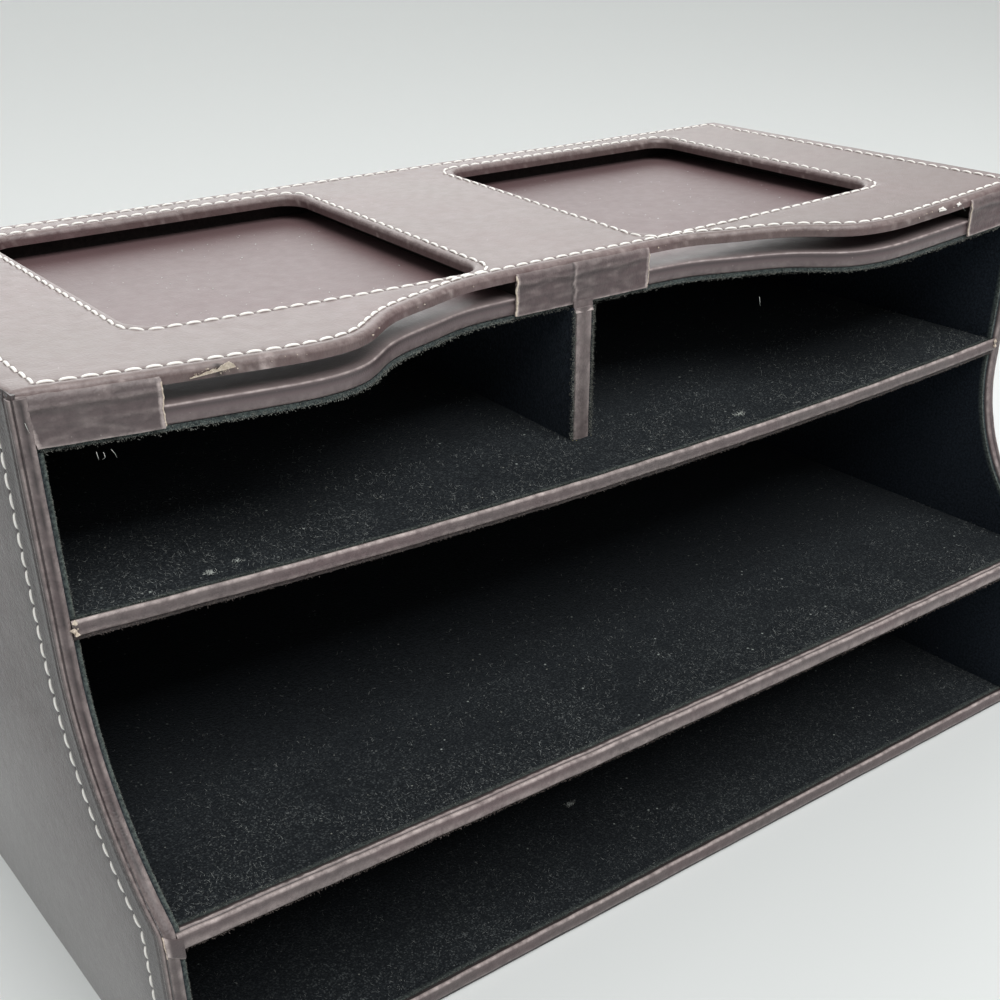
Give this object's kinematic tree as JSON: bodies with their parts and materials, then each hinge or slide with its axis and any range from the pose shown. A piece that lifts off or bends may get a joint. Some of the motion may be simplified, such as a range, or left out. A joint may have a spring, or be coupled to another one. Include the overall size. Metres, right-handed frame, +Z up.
{
  "type": "open valet organiser box",
  "caption": "Open-front valet organiser with stacked velvet-lined compartments, a divided upper level, scooped leather sides and a photo-window top.",
  "frame": {"origin": "middle of the footprint, on the surface that the box stands on", "axes": "+X to the right seen from the front, +Y from the open front to the back, +Z up"},
  "size_m": [0.31, 0.164, 0.168],
  "materials": {
    "leather": "satin, fine pressed grain",
    "edge_leather": "satin, smooth with creases",
    "pocket_leather": "semi-gloss, scuffed",
    "velvet": "short pile",
    "fibreboard": "raw",
    "base_felt": "felt"
  },
  "bodies": {
    "root": {"back_board": "fibreboard", "back_cover": "leather", "base_felt": "base_felt", "bottom_board": "fibreboard", "bottom_edge": "edge_leather", "centre_spacer": "fibreboard", "centre_tab": "edge_leather", "divider_board": "fibreboard", "divider_edge": "edge_leather", "divider_left_lining": "velvet", "divider_right_lining": "velvet", "left_corner_tab": "edge_leather", "left_edge_strip": "edge_leather", "left_lower_wall_lining": "velvet", "left_middle_wall_lining": "velvet", "left_side_board": "fibreboard", "left_side_cover": "leather", "left_spacer": "fibreboard", "left_upper_wall_lining": "velvet", "lower_back_lining": "velvet", "lower_ceiling_lining": "velvet", "lower_floor_lining": "velvet", "lower_shelf_board": "fibreboard", "lower_shelf_edge": "edge_leather", "middle_back_lining": "velvet", "middle_ceiling_lining": "velvet", "middle_floor_lining": "velvet", "pocket_floor_board": "fibreboard", "pocket_floor_cover": "pocket_leather", "rear_spacer": "fibreboard", "right_corner_tab": "edge_leather", "right_edge_strip": "edge_leather", "right_lower_wall_lining": "velvet", "right_middle_wall_lining": "velvet", "right_side_board": "fibreboard", "right_side_cover": "leather", "right_spacer": "fibreboard", "right_upper_wall_lining": "velvet", "top_frame_board": "fibreboard", "top_frame_cover": "leather", "upper_back_lining": "velvet", "upper_ceiling_lining": "velvet", "upper_floor_lining": "velvet", "upper_shelf_board": "fibreboard", "upper_shelf_edge": "edge_leather"}
  },
  "joints": []
}
